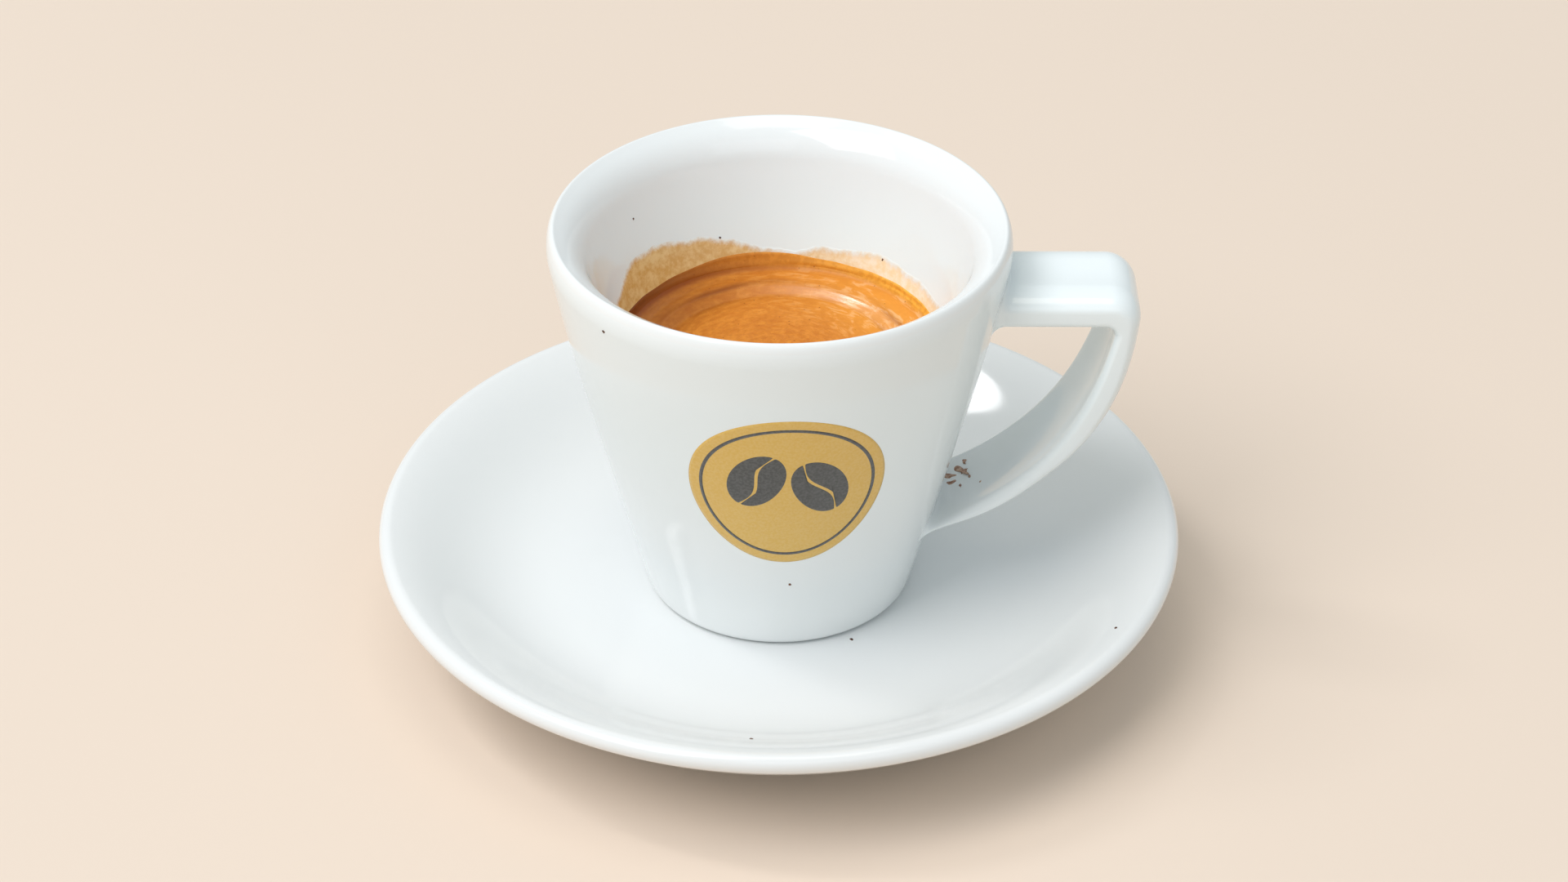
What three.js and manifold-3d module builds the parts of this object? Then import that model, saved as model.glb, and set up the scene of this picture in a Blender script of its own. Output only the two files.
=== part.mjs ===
// An espresso shot: a thick-walled porcelain cup with a strap handle, the drink in it, and its saucer.
// Millimetres, +Z up. The origin is at the middle of the saucer's foot, on the table.
import * as THREE from 'three';
import { mergeVertices } from 'three/addons/utils/BufferGeometryUtils.js';
import Module from 'manifold-3d';

const wasm = await Module();
wasm.setup();

// Saucer
const SAUCER_R = 60;
const SAUCER_LIP_R = 1.5;
const SAUCER_LIP_Z = 17;
const WELL_R = 34;
const WELL_Z = 8;
const WELL_BEND = 12;
const RIM_SLOPE = 20;
const RIM_BEND = 8;
const SAUCER_FLOOR = 4.4;
const SAUCER_FOOT_OUT = 35;
const SAUCER_FOOT_IN = 31;
const UNDERSIDE_BEND = 9;
const UNDERSIDE_SLOPE = 42;

// Cup
const CUP_TOP_Z = 68.4;
const RIM_R = 33.4;
const LIP_R = 1.15;
const BEVEL_SLOPE = 32;
const BEVEL_ROUND = 5;
const FOOT_WALL_R = 20.1;
const FOOT_CORNER_R = 1.8;
const FOOT_RING_WIDTH = 3;
const FOOT_RECESS = 1.2;
const WALL_SLOPE_LOW = 14.4;
const WALL_SLOPE_HIGH = 9.8;
const BORE_R = 29.46;
const BORE_SLOPE = 17.4;
const BORE_FLOOR_Z = 13.4;
const BORE_BEND_Z = 27;
const BORE_BEND = 9;

// Handle: a wide strap that leaves the cup level, turns a square corner and sweeps back to its foot
const STRAP_WIDTH = 16.4;
const STRAP_EDGE_R = 1.2;
const SHOULDER_WIDTH = 4.2;
const SHOULDER_DROP = 2.3;
const SIDE_FLAT = 0.3;
const ARM_TOP_Z = 60.5;
const ARM_UNDER_Z = 55.7;
const ARM_START_X = 29;
const STRAP_OUT_X = 51.9;
const OUTER_CORNER_R = 4.6;
const INNER_CORNER_R = 1.6;
const STRAP_IN_X = 48.1;
const OUTER_ROOT = [24.3, 20.4];
const INNER_ROOT = [26.1, 23.1];
const OUTER_SWEEP = { lead: 9.4, leadTurn: 4.7, tail: 25.4, tailTurn: 20.2 };
const INNER_SWEEP = { lead: 12.5, leadTurn: 11.9, tail: 17.1, tailTurn: 29.1 };
const ROOT_DEPTH = 5.6;
const ROOT_FILLET = 1.6;
const CHANNEL_DEPTH = 1.1;
const CHANNEL_RUNOUT = [0.8, 3];
const DISH_DEPTH = 0.3;
const DISH_RUNOUT = [1.2, 3.5];
const CHANNEL_HALF_WIDTH = 6.8;
const DISH_HALF_WIDTH = 3.8;

// Drink: a level crema that climbs the cup's wall in a hollow curve
const DRINK_Z = 45.8;
const DRINK_CLEARANCE = 0.3;
const LEVEL_R = 16;
const CLIMB_Z = 49.7;
const CLIMB_POWER = 3.3;

// Facets, and the strap's stations along its arm, its sweep and its run into the wall
const TURN_SEGMENTS = 72;
const DRINK_SEGMENTS = 48;
const ARM_STATIONS = [0, 1.6, 2.4, 2.8, 3.1, 3.5, 4.1, 4.9, 7, 10];
const CORNER_STEPS = 5;
const SWEEP_STEPS = 14;
const EDGE_TURNS = [0, 30, 60, 90];
const ROOT_STATIONS = [0.5, 1, 1.5, 2, 2.6, 3.4, ROOT_DEPTH];

const CHINA = new THREE.MeshStandardMaterial({ color: '#eef1ef', roughness: 0.12, metalness: 0 });
const CREMA = new THREE.MeshStandardMaterial({ color: '#c67f35', roughness: 0.35, metalness: 0 });

const radians = THREE.MathUtils.degToRad;
const point = (x, y) => new THREE.Vector2(x, y);

// A circular arc about (x, y), from one angle to another in degrees, as points.
function arc(x, y, radius, from, to, steps) {
  const curve = new THREE.EllipseCurve(x, y, radius, radius, radians(from), radians(to), to < from);
  return curve.getPoints(steps);
}

// A cubic Bezier curve through four control points, as points.
function bezier(controls, steps) {
  return new THREE.CubicBezierCurve(...controls).getPoints(steps);
}

// The point at a distance from another, in a direction given in degrees from the first axis.
function beside(start, distance, angle) {
  return point(start.x + distance * Math.cos(radians(angle)), start.y + distance * Math.sin(radians(angle)));
}

// Keeps the shared vertices and the faces with an area, and turns the faces outwards.
function solid(geometry) {
  geometry.deleteAttribute('normal');
  geometry.deleteAttribute('uv');
  const merged = mergeVertices(geometry, 1e-4);
  const spot = merged.attributes.position;
  const index = merged.index.array;
  const corner = [new THREE.Vector3(), new THREE.Vector3(), new THREE.Vector3()];
  const faces = [];
  let volume = 0;
  for (let i = 0; i < index.length; i += 3) {
    const face = [index[i], index[i + 1], index[i + 2]];
    if (new Set(face).size < 3) continue;
    face.forEach((vertex, k) => corner[k].fromBufferAttribute(spot, vertex));
    volume += corner[0].dot(corner[1].cross(corner[2]));
    faces.push(face);
  }
  merged.setIndex(faces.flatMap(([a, b, c]) => (volume < 0 ? [a, c, b] : [a, b, c])));
  return merged;
}

// Turns a profile of (radius, height) points about the Z axis.
function turned(profile, segments) {
  const geometry = new THREE.LatheGeometry(profile, segments);
  geometry.rotateX(Math.PI / 2);
  return solid(geometry);
}

function asManifold(geometry) {
  return new wasm.Manifold(new wasm.Mesh({
    numProp: 3,
    vertProperties: new Float32Array(geometry.attributes.position.array),
    triVerts: new Uint32Array(geometry.index.array),
  }));
}

function asGeometry(manifold) {
  const mesh = manifold.getMesh();
  const geometry = new THREE.BufferGeometry();
  geometry.setAttribute('position', new THREE.BufferAttribute(new Float32Array(mesh.vertProperties), 3));
  geometry.setIndex(Array.from(mesh.triVerts));
  return geometry;
}

// Cup's outer wall: its radius at a height, a cubic between the foot's slope and the lip's slope.
const lipCentre = point(RIM_R - LIP_R, CUP_TOP_Z - LIP_R);
const wallTop = beside(lipCentre, LIP_R, -WALL_SLOPE_HIGH);
const footCentre = point(
  FOOT_WALL_R - FOOT_CORNER_R * Math.cos(radians(WALL_SLOPE_LOW)),
  WELL_Z + FOOT_CORNER_R,
);
const wallFoot = beside(footCentre, FOOT_CORNER_R, -WALL_SLOPE_LOW);

function wallRadius(z) {
  const span = wallTop.y - wallFoot.y;
  const t = (z - wallFoot.y) / span;
  const leave = Math.tan(radians(WALL_SLOPE_LOW)) * span;
  const arrive = Math.tan(radians(WALL_SLOPE_HIGH)) * span;
  const rise = wallTop.x - wallFoot.x;
  return wallFoot.x + t * leave
    + t * t * (3 * rise - 2 * leave - arrive)
    + t * t * t * (leave + arrive - 2 * rise);
}

// Cup's bore: a cone, BORE_R wide at the rim's height, down to the bend, then a round bottom.
function boreRadius(z) {
  return BORE_R - (CUP_TOP_Z - z) * Math.tan(radians(BORE_SLOPE));
}

// Centre of the round between the bevel inside the lip and the bore, BEVEL_ROUND away from both.
function bevelCentre() {
  const start = beside(lipCentre, LIP_R - BEVEL_ROUND, 90 + BEVEL_SLOPE);
  const clear = (start.x - boreRadius(start.y)) * Math.cos(radians(BORE_SLOPE)) - BEVEL_ROUND;
  return beside(start, clear / Math.cos(radians(BORE_SLOPE + BEVEL_SLOPE)), 180 + BEVEL_SLOPE);
}

function boreBottom(gap, steps) {
  const bend = point(boreRadius(BORE_BEND_Z) - gap, BORE_BEND_Z);
  const floor = point(0, BORE_FLOOR_Z + gap);
  return bezier([floor, point(BORE_BEND - gap, floor.y), beside(bend, BORE_BEND, -90 - BORE_SLOPE), bend], steps);
}

function cupBody() {
  const wallSteps = 8;
  const wall = Array.from({ length: wallSteps - 1 }, (_, i) => {
    const z = THREE.MathUtils.lerp(wallFoot.y, wallTop.y, (i + 1) / wallSteps);
    return point(wallRadius(z), z);
  });
  const ringIn = footCentre.x - FOOT_RING_WIDTH;
  const bevel = bevelCentre();
  return turned([
    point(0, WELL_Z + FOOT_RECESS),
    point(ringIn - FOOT_RECESS, WELL_Z + FOOT_RECESS),
    point(ringIn, WELL_Z),
    ...arc(footCentre.x, footCentre.y, FOOT_CORNER_R, -90, -WALL_SLOPE_LOW, 4),
    ...wall,
    ...arc(lipCentre.x, lipCentre.y, LIP_R, -WALL_SLOPE_HIGH, 90 + BEVEL_SLOPE, 7),
    ...arc(bevel.x, bevel.y, BEVEL_ROUND, 90 + BEVEL_SLOPE, 180 - BORE_SLOPE, 3),
    point(boreRadius(CLIMB_Z), CLIMB_Z),
    ...boreBottom(0, 7).reverse(),
  ], TURN_SEGMENTS);
}

// One edge line of the strap in the XZ plane: level arm, corner, sweep back, and into the wall.
function strapLine(z, cornerX, cornerR, root, sweep) {
  const arm = ARM_STATIONS.map((along) => point(ARM_START_X + along, z));
  const corner = arc(cornerX - cornerR, z - cornerR, cornerR, 90, 0, CORNER_STEPS);
  const start = point(cornerX, z - cornerR);
  const end = point(...root);
  const lead = beside(start, sweep.lead, -90 - sweep.leadTurn);
  const tail = beside(end, sweep.tail, sweep.tailTurn);
  const run = bezier([start, lead, tail, end], SWEEP_STEPS).slice(1);
  const into = ROOT_STATIONS.map((along) => beside(end, along, 180 + sweep.tailTurn));
  return [...arm, ...corner, ...run, ...into];
}

// How deep a hollow is across the strap's flat, one in the middle and nothing at its lips.
const hollowAcross = [-1, -0.6, 0, 0.6, 1].map((along) => ({ along, depth: 1 - along * along }));

// The strap's section at one station: points with their outward direction, round the section. Its inner
// edges are quarter circles, and its outer shoulders are wide quarter ellipses.
function section(thickness, channel, dish) {
  const drop = Math.min(SHOULDER_DROP, thickness - STRAP_EDGE_R - SIDE_FLAT);
  const quarter = (side, width, height, level, from) => EDGE_TURNS.map((turn) => {
    const out = beside(point(0, 0), 1, from + turn);
    const middle = side * (STRAP_WIDTH / 2 - width);
    return { across: middle + width * out.x, up: level + height * out.y, out };
  });
  const edge = (side, from) => quarter(side, STRAP_EDGE_R, STRAP_EDGE_R, STRAP_EDGE_R, from);
  const shoulder = (side, from) => quarter(side, SHOULDER_WIDTH, drop, thickness - drop, from);
  const hollow = (level, depth, halfWidth, out, order) => hollowAcross.map((step) => (
    { across: order * step.along * halfWidth, up: level + depth * step.depth, out }));
  return [
    ...hollow(0, channel, CHANNEL_HALF_WIDTH, point(0, -1), 1),
    ...edge(1, -90),
    ...shoulder(1, 0),
    ...hollow(thickness, -dish, DISH_HALF_WIDTH, point(0, 1), -1),
    ...shoulder(-1, 90),
    ...edge(-1, 180),
  ];
}

// Swells the strap where it meets the wall, so that a quarter-round fillet runs into the cup.
function flared(place, out) {
  const radius = Math.hypot(place.x, place.y);
  const gap = (radius - wallRadius(place.z)) * Math.cos(radians(WALL_SLOPE_LOW));
  if (gap >= ROOT_FILLET) return place;
  const wallOut = new THREE.Vector3(place.x / radius, place.y / radius, -Math.tan(radians(WALL_SLOPE_LOW)));
  wallOut.normalize();
  const along = out.clone().addScaledVector(wallOut, -out.dot(wallOut)).normalize();
  const left = ROOT_FILLET - Math.max(gap, 0);
  return place.addScaledVector(along, ROOT_FILLET - Math.sqrt(ROOT_FILLET ** 2 - left ** 2));
}

function strap() {
  const outer = strapLine(ARM_TOP_Z, STRAP_OUT_X, OUTER_CORNER_R, OUTER_ROOT, OUTER_SWEEP);
  const inner = strapLine(ARM_UNDER_Z, STRAP_IN_X, INNER_CORNER_R, INNER_ROOT, INNER_SWEEP);
  const firstTurn = ARM_STATIONS.length;
  const lastTurn = firstTurn + CORNER_STEPS;
  const ease = THREE.MathUtils.smoothstep;
  const rows = outer.map((high, i) => {
    const low = inner[i];
    const thickness = high.distanceTo(low);
    const up = new THREE.Vector3(high.x - low.x, 0, high.y - low.y).normalize();
    const clear = low.x - wallRadius(low.y);
    const channel = CHANNEL_DEPTH * ease(i, lastTurn - 1, lastTurn + 3) * ease(clear, ...CHANNEL_RUNOUT);
    const dish = DISH_DEPTH * ease(clear, ...DISH_RUNOUT) * (1 - ease(i, firstTurn - 1, lastTurn - 2));
    return section(thickness, channel, dish).map((spot) => {
      const place = new THREE.Vector3(low.x, spot.across, low.y).addScaledVector(up, spot.up);
      const out = new THREE.Vector3(0, spot.out.x, 0).addScaledVector(up, spot.out.y);
      return flared(place, out);
    });
  });
  const around = rows[0].length;
  const places = rows.flat();
  const index = [];
  for (let i = 0; i + 1 < rows.length; i += 1) {
    for (let k = 0; k < around; k += 1) {
      const a = i * around + k;
      const b = i * around + (k + 1) % around;
      index.push(a, b, a + around, b, b + around, a + around);
    }
  }
  for (const [row, turn] of [[0, 1], [rows.length - 1, -1]]) {
    const middle = rows[row].reduce((sum, place) => sum.add(place), new THREE.Vector3());
    places.push(middle.divideScalar(around));
    for (let k = 0; k < around; k += 1) {
      const a = row * around + k;
      const b = row * around + (k + 1) % around;
      index.push(places.length - 1, ...(turn > 0 ? [b, a] : [a, b]));
    }
  }
  const geometry = new THREE.BufferGeometry().setFromPoints(places);
  geometry.setIndex(index);
  return solid(geometry);
}

function cup() {
  return asGeometry(asManifold(cupBody()).add(asManifold(strap())));
}

function saucer() {
  const lip = point(SAUCER_R - SAUCER_LIP_R, SAUCER_LIP_Z);
  const rimTop = beside(lip, SAUCER_LIP_R, 90 + RIM_SLOPE);
  const underTop = beside(lip, SAUCER_LIP_R, UNDERSIDE_SLOPE - 90);
  const floorZ = WELL_Z - SAUCER_FLOOR;
  const underEnd = point(SAUCER_FOOT_OUT, floorZ);
  const dish = bezier([
    point(WELL_R, WELL_Z), point(WELL_R + WELL_BEND, WELL_Z),
    beside(rimTop, RIM_BEND, 180 + RIM_SLOPE), rimTop,
  ], 9);
  const underside = bezier([
    underTop, beside(underTop, UNDERSIDE_BEND, 180 + UNDERSIDE_SLOPE),
    beside(underEnd, UNDERSIDE_BEND, 0), underEnd,
  ], 6);
  return turned([
    point(0, floorZ),
    point(SAUCER_FOOT_IN - 1, floorZ),
    point(SAUCER_FOOT_IN, 0),
    point(SAUCER_FOOT_OUT - 1, 0),
    ...underside.reverse(),
    ...arc(lip.x, lip.y, SAUCER_LIP_R, UNDERSIDE_SLOPE - 90, 90 + RIM_SLOPE, 6).slice(1, -1),
    ...dish.reverse(),
    point(0, WELL_Z),
  ], TURN_SEGMENTS);
}

function espresso() {
  const edge = boreRadius(CLIMB_Z) - DRINK_CLEARANCE;
  const climb = [1, 0.92, 0.82, 0.66, 0.4, 0].map((share) => point(
    THREE.MathUtils.lerp(LEVEL_R, edge, share),
    THREE.MathUtils.lerp(DRINK_Z, CLIMB_Z, share ** CLIMB_POWER),
  ));
  return turned([...boreBottom(DRINK_CLEARANCE, 6), ...climb, point(0, DRINK_Z)], DRINK_SEGMENTS);
}

function named(name, geometry, material) {
  const mesh = new THREE.Mesh(geometry, material);
  mesh.name = name;
  return mesh;
}

const group = new THREE.Group();
group.add(named('saucer', saucer(), CHINA));
group.add(named('cup', cup(), CHINA));
group.add(named('espresso', espresso(), CREMA));

export default group;
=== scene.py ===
# An espresso shot: a thick porcelain cup with a strap handle, its saucer, and the drink with its crema.
import math

import bpy
import numpy as np
from mathutils import Matrix, Vector


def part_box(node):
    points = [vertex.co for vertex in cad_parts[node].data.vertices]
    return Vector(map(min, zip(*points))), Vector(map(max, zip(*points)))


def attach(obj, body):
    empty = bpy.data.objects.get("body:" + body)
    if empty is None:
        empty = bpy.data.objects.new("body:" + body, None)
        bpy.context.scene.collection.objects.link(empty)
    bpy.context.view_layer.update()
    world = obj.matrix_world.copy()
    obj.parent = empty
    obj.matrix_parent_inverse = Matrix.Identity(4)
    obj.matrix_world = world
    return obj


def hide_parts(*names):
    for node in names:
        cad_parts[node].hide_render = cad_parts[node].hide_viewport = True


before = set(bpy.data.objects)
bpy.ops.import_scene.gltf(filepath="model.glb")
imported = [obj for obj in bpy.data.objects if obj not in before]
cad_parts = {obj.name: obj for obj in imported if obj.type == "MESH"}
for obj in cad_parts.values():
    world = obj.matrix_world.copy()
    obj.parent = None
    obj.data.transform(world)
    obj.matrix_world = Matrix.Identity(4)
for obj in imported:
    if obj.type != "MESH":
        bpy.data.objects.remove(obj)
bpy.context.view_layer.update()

# Lengths are in millimetres and angles in degrees until a mesh is made.
MM = 0.001
FULL_TURN = 2 * np.pi

# A turned profile starts and ends this close to the axis.
AXIS_R = 0.02

# Heights and radii read from the frame's own boxes.
saucer_low, saucer_high = (np.array(corner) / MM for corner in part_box("saucer"))
cup_low, cup_high = (np.array(corner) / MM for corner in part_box("cup"))
SAUCER_R = round(saucer_high[0], 2)
CUP_TOP_Z = round(cup_high[2], 2)
WELL_Z = round(cup_low[2], 2)
RIM_R = round(-cup_low[0], 1)

# Saucer
SAUCER_LIP_R = 1.5
SAUCER_LIP_Z = round(saucer_high[2], 2) - SAUCER_LIP_R
WELL_R = 34
WELL_BEND = 12
RIM_SLOPE = 20
RIM_BEND = 8
SAUCER_FLOOR = 4.4
SAUCER_FOOT_OUT = 35
SAUCER_FOOT_IN = 31
FOOT_LEAN = 1
FOOT_ROUND = 0.6
UNDERSIDE_BEND = 9
UNDERSIDE_SLOPE = 42

# Cup
LIP_WIDTH = 1
LIP_HEIGHT = 2.8
BEVEL_SLOPE = 32.5
BEVEL_ROUND = 8
FOOT_WALL_R = 20.1
FOOT_CORNER_R = 1.8
FOOT_RING_WIDTH = 3
FOOT_RECESS = 1.2
WALL_SLOPE_LOW = 14.4
WALL_SLOPE_HIGH = 10.2
BORE_R = 29.46
BORE_SLOPE = 17.4
BORE_FLOOR_Z = 13.4
BORE_BEND_Z = 27
BORE_BEND = 9

# Strap handle
STRAP_WIDTH = 16.4
STRAP_EDGE_R = 1.2
SHOULDER_WIDTH = 4.2
SHOULDER_DROP = 2.3
SIDE_FLAT = 0.3
ARM_TOP_Z = 60.5
ARM_UNDER_Z = 55.7
ARM_START_X = 29
ARM_LENGTH = 10
ARM_FILLET = (1.6, 5)
STRAP_OUT_X = 51.9
OUTER_CORNER_R = 4.6
STRAP_IN_X = 48.1
INNER_CORNER_R = 1.6
OUTER_ROOT = (24.3, 20.4)
INNER_ROOT = (26.1, 23.1)
OUTER_SWEEP = {"lead": 9.4, "lead_turn": 4.7, "tail": 25.4, "tail_turn": 20.2}
INNER_SWEEP = {"lead": 12.5, "lead_turn": 11.9, "tail": 17.1, "tail_turn": 29.1}
ROOT_DEPTH = 5.6
ROOT_FILLET = 1.6
CHANNEL_DEPTH = 1.1
DISH_DEPTH = 0.3
CHANNEL_HALF_WIDTH = 6.8
DISH_HALF_WIDTH = 3.8

# The strap's inner channel and outer dish begin and end over these stations past the straight arm,
# and over these distances from the wall.
CHANNEL_STATIONS = (8, 22)
CHANNEL_CLEAR = (0.8, 3)
DISH_STATIONS = (-4, 9)
DISH_CLEAR = (1.2, 3.5)

# Drink: the crema lies level, climbs a low step and a slope, and ends as a film on the cup's wall
DRINK_Z = 45.8
STEP_IN_R = 17.3
STEP_OUT_R = 18.9
STEP_RISE = 0.85
STEP_BEND_IN = 0.4
STEP_BEND_OUT = 0.35
STEP_TURN = 25
SLOPE_BEND_LOW = 2.2
SLOPE_BEND_HIGH = 1.1
SLOPE_TURN = 14
FILM_FOOT_Z = 47.9
FILM_STANDS = 0.12
EDGE_Z = 49.1
EDGE_SWELL = 0.9
EDGE_SWELL_AT = 103
EDGE_SWELL_WIDTH = 22
EDGE_UNEVEN = 0.08
INTO_WALL = 0.12
RIPPLE = 0.02

# The crema's browner places, and where light and shade are painted on it, as (angle from the handle, width)
# of bell curves round the cup
CREMA_PLACES = {
    "crease": (138, 44), "step at the back": (122, 30), "step by the handle": (22, 16), "wet step": (52, 32),
    "sheen": (146, 26), "lit": (32, 46), "painted_shade": (162, 38), "painted_slope_shade": (146, 38)}
CREASE_WAY = 1.9
CREASE_WIDTH = 0.55
SHEEN_R = 21.4
SHEEN_WIDTH = 1.1

# The mottles in the crema's swirl have their stated length at this radius.
SWIRL_R = 18

# Dried coffee above the crema: the film's top edge as (angle from the handle, height)
STAIN_EDGE = [
    (20, 51.3), (34, 51.6), (51, 52.0), (64, 51.6), (77, 50.9), (86, 50.0), (94, 50.4), (106, 52.0),
    (118, 53.6), (131, 54.6), (149, 55.2), (157, 54.2), (165, 52.6), (200, 51.0), (250, 50.7), (300, 51.4)]
STAIN_STANDS = 0.03
STAIN_LOW_Z = 48.3
STAIN_INTO_WALL = 0.2
STAIN_UNEVEN = 0.22
STAIN_FRAYED = 0.1
# Where the dried film is painted paler with light, as (angle from the handle, width) of a bell curve
STAIN_PAINTED_LIGHT = (40, 42)

# Badge: a round print on the cup's front, with a ring and two coffee beans on it
BADGE_ANGLE = -87.5
BADGE_Z = 40.9
BADGE_R = 14.3
BADGE_STANDS = 0.03
MARKS_STAND = 1.6 * BADGE_STANDS
PRINT_INTO_WALL = 0.3
RING_OUT = 12.7
RING_IN = 12.2
BEAN_LONG = 5.4
BEAN_WIDE = 3.7
BEAN_CREASE = 0.5
BEAN_BEND = 0.22

# The two beans as (across, up, tilt in degrees) on the badge
BEANS = [(-4.4, 2.4, 62), (4.6, 1.0, 118)]

# Coffee grounds as (angle from the handle, radius, height, size), each laid on the china nearest to it
GROUNDS_ON_CUP = [
    (-136.8, 33, 64.3, 0.24), (-86, 23.5, 21.6, 0.22), (143.8, 26.8, 59.9, 0.16), (50.3, 24, 51.4, 0.2),
    (111.5, 24.2, 52.7, 0.17)]
GROUNDS_ON_SAUCER = [(-59.3, 21.2, 8, 0.24), (-30, 56.9, 16, 0.26), (-94.7, 45.4, 12, 0.24)]

# Splashes by the handle's lower root as (x, y, height, length, width, lean across the strap)
SPLASHES = [
    (25.0, 3.4, 23.6, 1.7, 0.5, 75), (26.2, 4.4, 24.4, 1.9, 0.45, 35), (27.2, 5.3, 25.2, 0.8, 0.3, 10),
    (27.2, 3.1, 25.3, 0.7, 0.3, 120), (25.4, 1.8, 23.9, 1.1, 0.34, 95), (24.9, 0.2, 23.7, 0.5, 0.26, 60),
    (26.4, 0.4, 24.7, 0.4, 0.2, 0), (27.6, 1.6, 25.6, 0.35, 0.2, 30), (28.8, -0.6, 26.6, 0.24, 0.16, 0)]
SPLASH_STANDS = 0.07

# Lamps as (turn from the handle, height above the floor in degrees, width, height, power, colour)
LAMPS = {
    "soft box": (218, 54, 1.8, 2.05, 49, "#fdfbfd"),
    "window": (168, 55, 0.34, 0.95, 13, "#fdfdff"),
    "overhead": (0, 90, 1.4, 1.4, 12, "#fff4e4"),
    "fill": (286, 38, 2.2, 1.4, 6, "#e4f0ff"),
}
LAMPS_AWAY = 3
LAMPS_AIM_Z = 0.03
SURROUND = 0.53
SURROUND_COLOUR = "#eef8fd"
FLOOR_HALF = 1500

# Camera: its place, the way it looks, its lens and sensor, and its roll
CAMERA_PLACE = (0, -435.7, 321.1)
CAMERA_AHEAD = (0.0014, 0.8324, -0.5541)
CAMERA_LENS = 80.9
CAMERA_SENSOR = 36
CAMERA_ROLL = 0.24

# Colours of the glaze and of the prints
CHINA_WHITE = "#edf0ef"
SAUCER_WHITE = "#e9ebea"
# BORE_WHITE is the painted cool tint against warm bounced light, in the bore and high on the outer wall; the
# dried film fades to it too.
BORE_WHITE = "#ebf9fc"
MUSTARD = "#dcb257"
PRINT_DARK = "#4b4a48"

# A painted cool tint offsets the warm light bounced onto the cup: the glaze is painted bluer between the
# heights of COOL_WALL up the cup's outside, loses half of that between those of COOL_LIP, and loses it
# between those of COOL_BORE up the bore.
COOL_WALL = (22, 48)
COOL_LIP = (64, 67.5)
COOL_BORE = (50, 68)
COOL_OUTSIDE = 0.36

# How finely the surfaces are cut
TURNS = 320
CREMA_TURNS = 480
BADGE_TURNS = 200
ROUND_POINTS = 13
FACE_POINTS = 19

# The first seeds of the grounds' and the splashes' shapes
GROUNDS_SEED = 40
SPLASH_SEED = 60


def smooth_step(value, low, high):
    """Nought below low, one above high, and an S-curve between."""
    t = np.clip((value - low) / (high - low), 0, 1)
    return t * t * (3 - 2 * t)


def bell(degrees, middle, width):
    """A bell curve of an angle: exp(-(off / width)^2), with the angle off its middle within half a turn."""
    off = (degrees - middle + 180) % 360 - 180
    return np.exp(-(off / width) ** 2)


def arc(x, z, radius, start, end, steps):
    """Points on a circle about (x, z), from one angle to another."""
    turn = np.radians(np.linspace(start, end, steps + 1))
    return np.stack([x + radius * np.cos(turn), z + radius * np.sin(turn)], -1)


def bezier(points, steps):
    """The cubic Bezier sum: each control point weighted by its Bernstein polynomial."""
    a, b, c, d = np.array(points, float)
    t = np.linspace(0, 1, steps + 1)[:, None]
    return (1 - t) ** 3 * a + 3 * (1 - t) ** 2 * t * b + 3 * (1 - t) * t ** 2 * c + t ** 3 * d


def line(start, end, steps):
    """Evenly spaced points from start up to, and without, end."""
    t = np.linspace(0, 1, steps, endpoint=False)[:, None]
    return np.array(start, float) * (1 - t) + np.array(end, float) * t


def beside(point, distance, angle):
    """The point at a distance from another, in a direction."""
    turn = math.radians(angle)
    return np.array([point[0] + distance * math.cos(turn), point[1] + distance * math.sin(turn)])


def band_faces(rows, around, first=0):
    """Quads between neighbouring closed rings of one grid of vertices."""
    i, k = np.meshgrid(np.arange(rows - 1), np.arange(around), indexing="ij")
    a = first + i * around + k
    b = first + i * around + (k + 1) % around
    return np.stack([a, b, b + around, a + around], -1).reshape(-1, 4)


def fan_faces(centre, ring, flip):
    """Triangles from one point to each side of a ring."""
    after = np.roll(ring, -1)
    order = [np.full_like(ring, centre), after, ring] if flip else [np.full_like(ring, centre), ring, after]
    return np.stack(order, -1)


def closed_skin(rings):
    """Rings of points (rows, around, 3) as one closed skin: bands between them and a fan at either end."""
    rows, around = rings.shape[:2]
    ends = np.stack([rings[0].mean(0), rings[-1].mean(0)])
    vertices = np.concatenate([rings.reshape(-1, 3), ends])
    last = rows * around
    faces = band_faces(rows, around).tolist()
    faces += fan_faces(last, np.arange(around), True).tolist()
    faces += fan_faces(last + 1, np.arange(around) + (rows - 1) * around, False).tolist()
    return vertices, faces


def closed_band(rings):
    """Rings of points as a closed band: the last ring is joined to the first, and there are no ends."""
    rows, around = rings.shape[:2]
    last = (rows - 1) * around
    k = np.arange(around)
    after = (k + 1) % around
    closing = np.stack([last + k, last + after, after, k], -1)
    faces = np.concatenate([band_faces(rows, around), closing])[:, ::-1]
    return rings.reshape(-1, 3), faces.tolist()


def turned(profile, turns):
    """A profile (radius, height) turned about the Z axis: x = r cos a, y = r sin a, z = h."""
    angle = np.arange(turns) * FULL_TURN / turns
    r, z = np.array(profile)[:, :1], np.array(profile)[:, 1:]
    return np.stack([r * np.cos(angle), r * np.sin(angle), z + 0 * angle], -1)


def add_mesh(name, vertices, faces, material):
    """A smooth mesh object at the origin, from points in millimetres."""
    mesh = bpy.data.meshes.new(name)
    mesh.from_pydata((vertices * MM).tolist(), [], faces)
    mesh.polygons.foreach_set("use_smooth", np.ones(len(mesh.polygons), bool))
    mesh.validate()
    mesh.materials.append(material)
    piece = bpy.data.objects.new(name, mesh)
    bpy.context.scene.collection.objects.link(piece)
    return piece


def add_attributes(piece, values):
    """Numbers for each vertex, which a material reads by name."""
    for name, numbers in values.items():
        attribute = piece.data.attributes.new(name, "FLOAT", "POINT")
        attribute.data.foreach_set("value", numbers.astype(np.float32))
    return piece


def dress(piece, node=None):
    """Every piece rides on the one body, and hides the CAD part that it stands in for."""
    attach(piece, "root")
    if node:
        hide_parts(node)
    return piece


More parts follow.
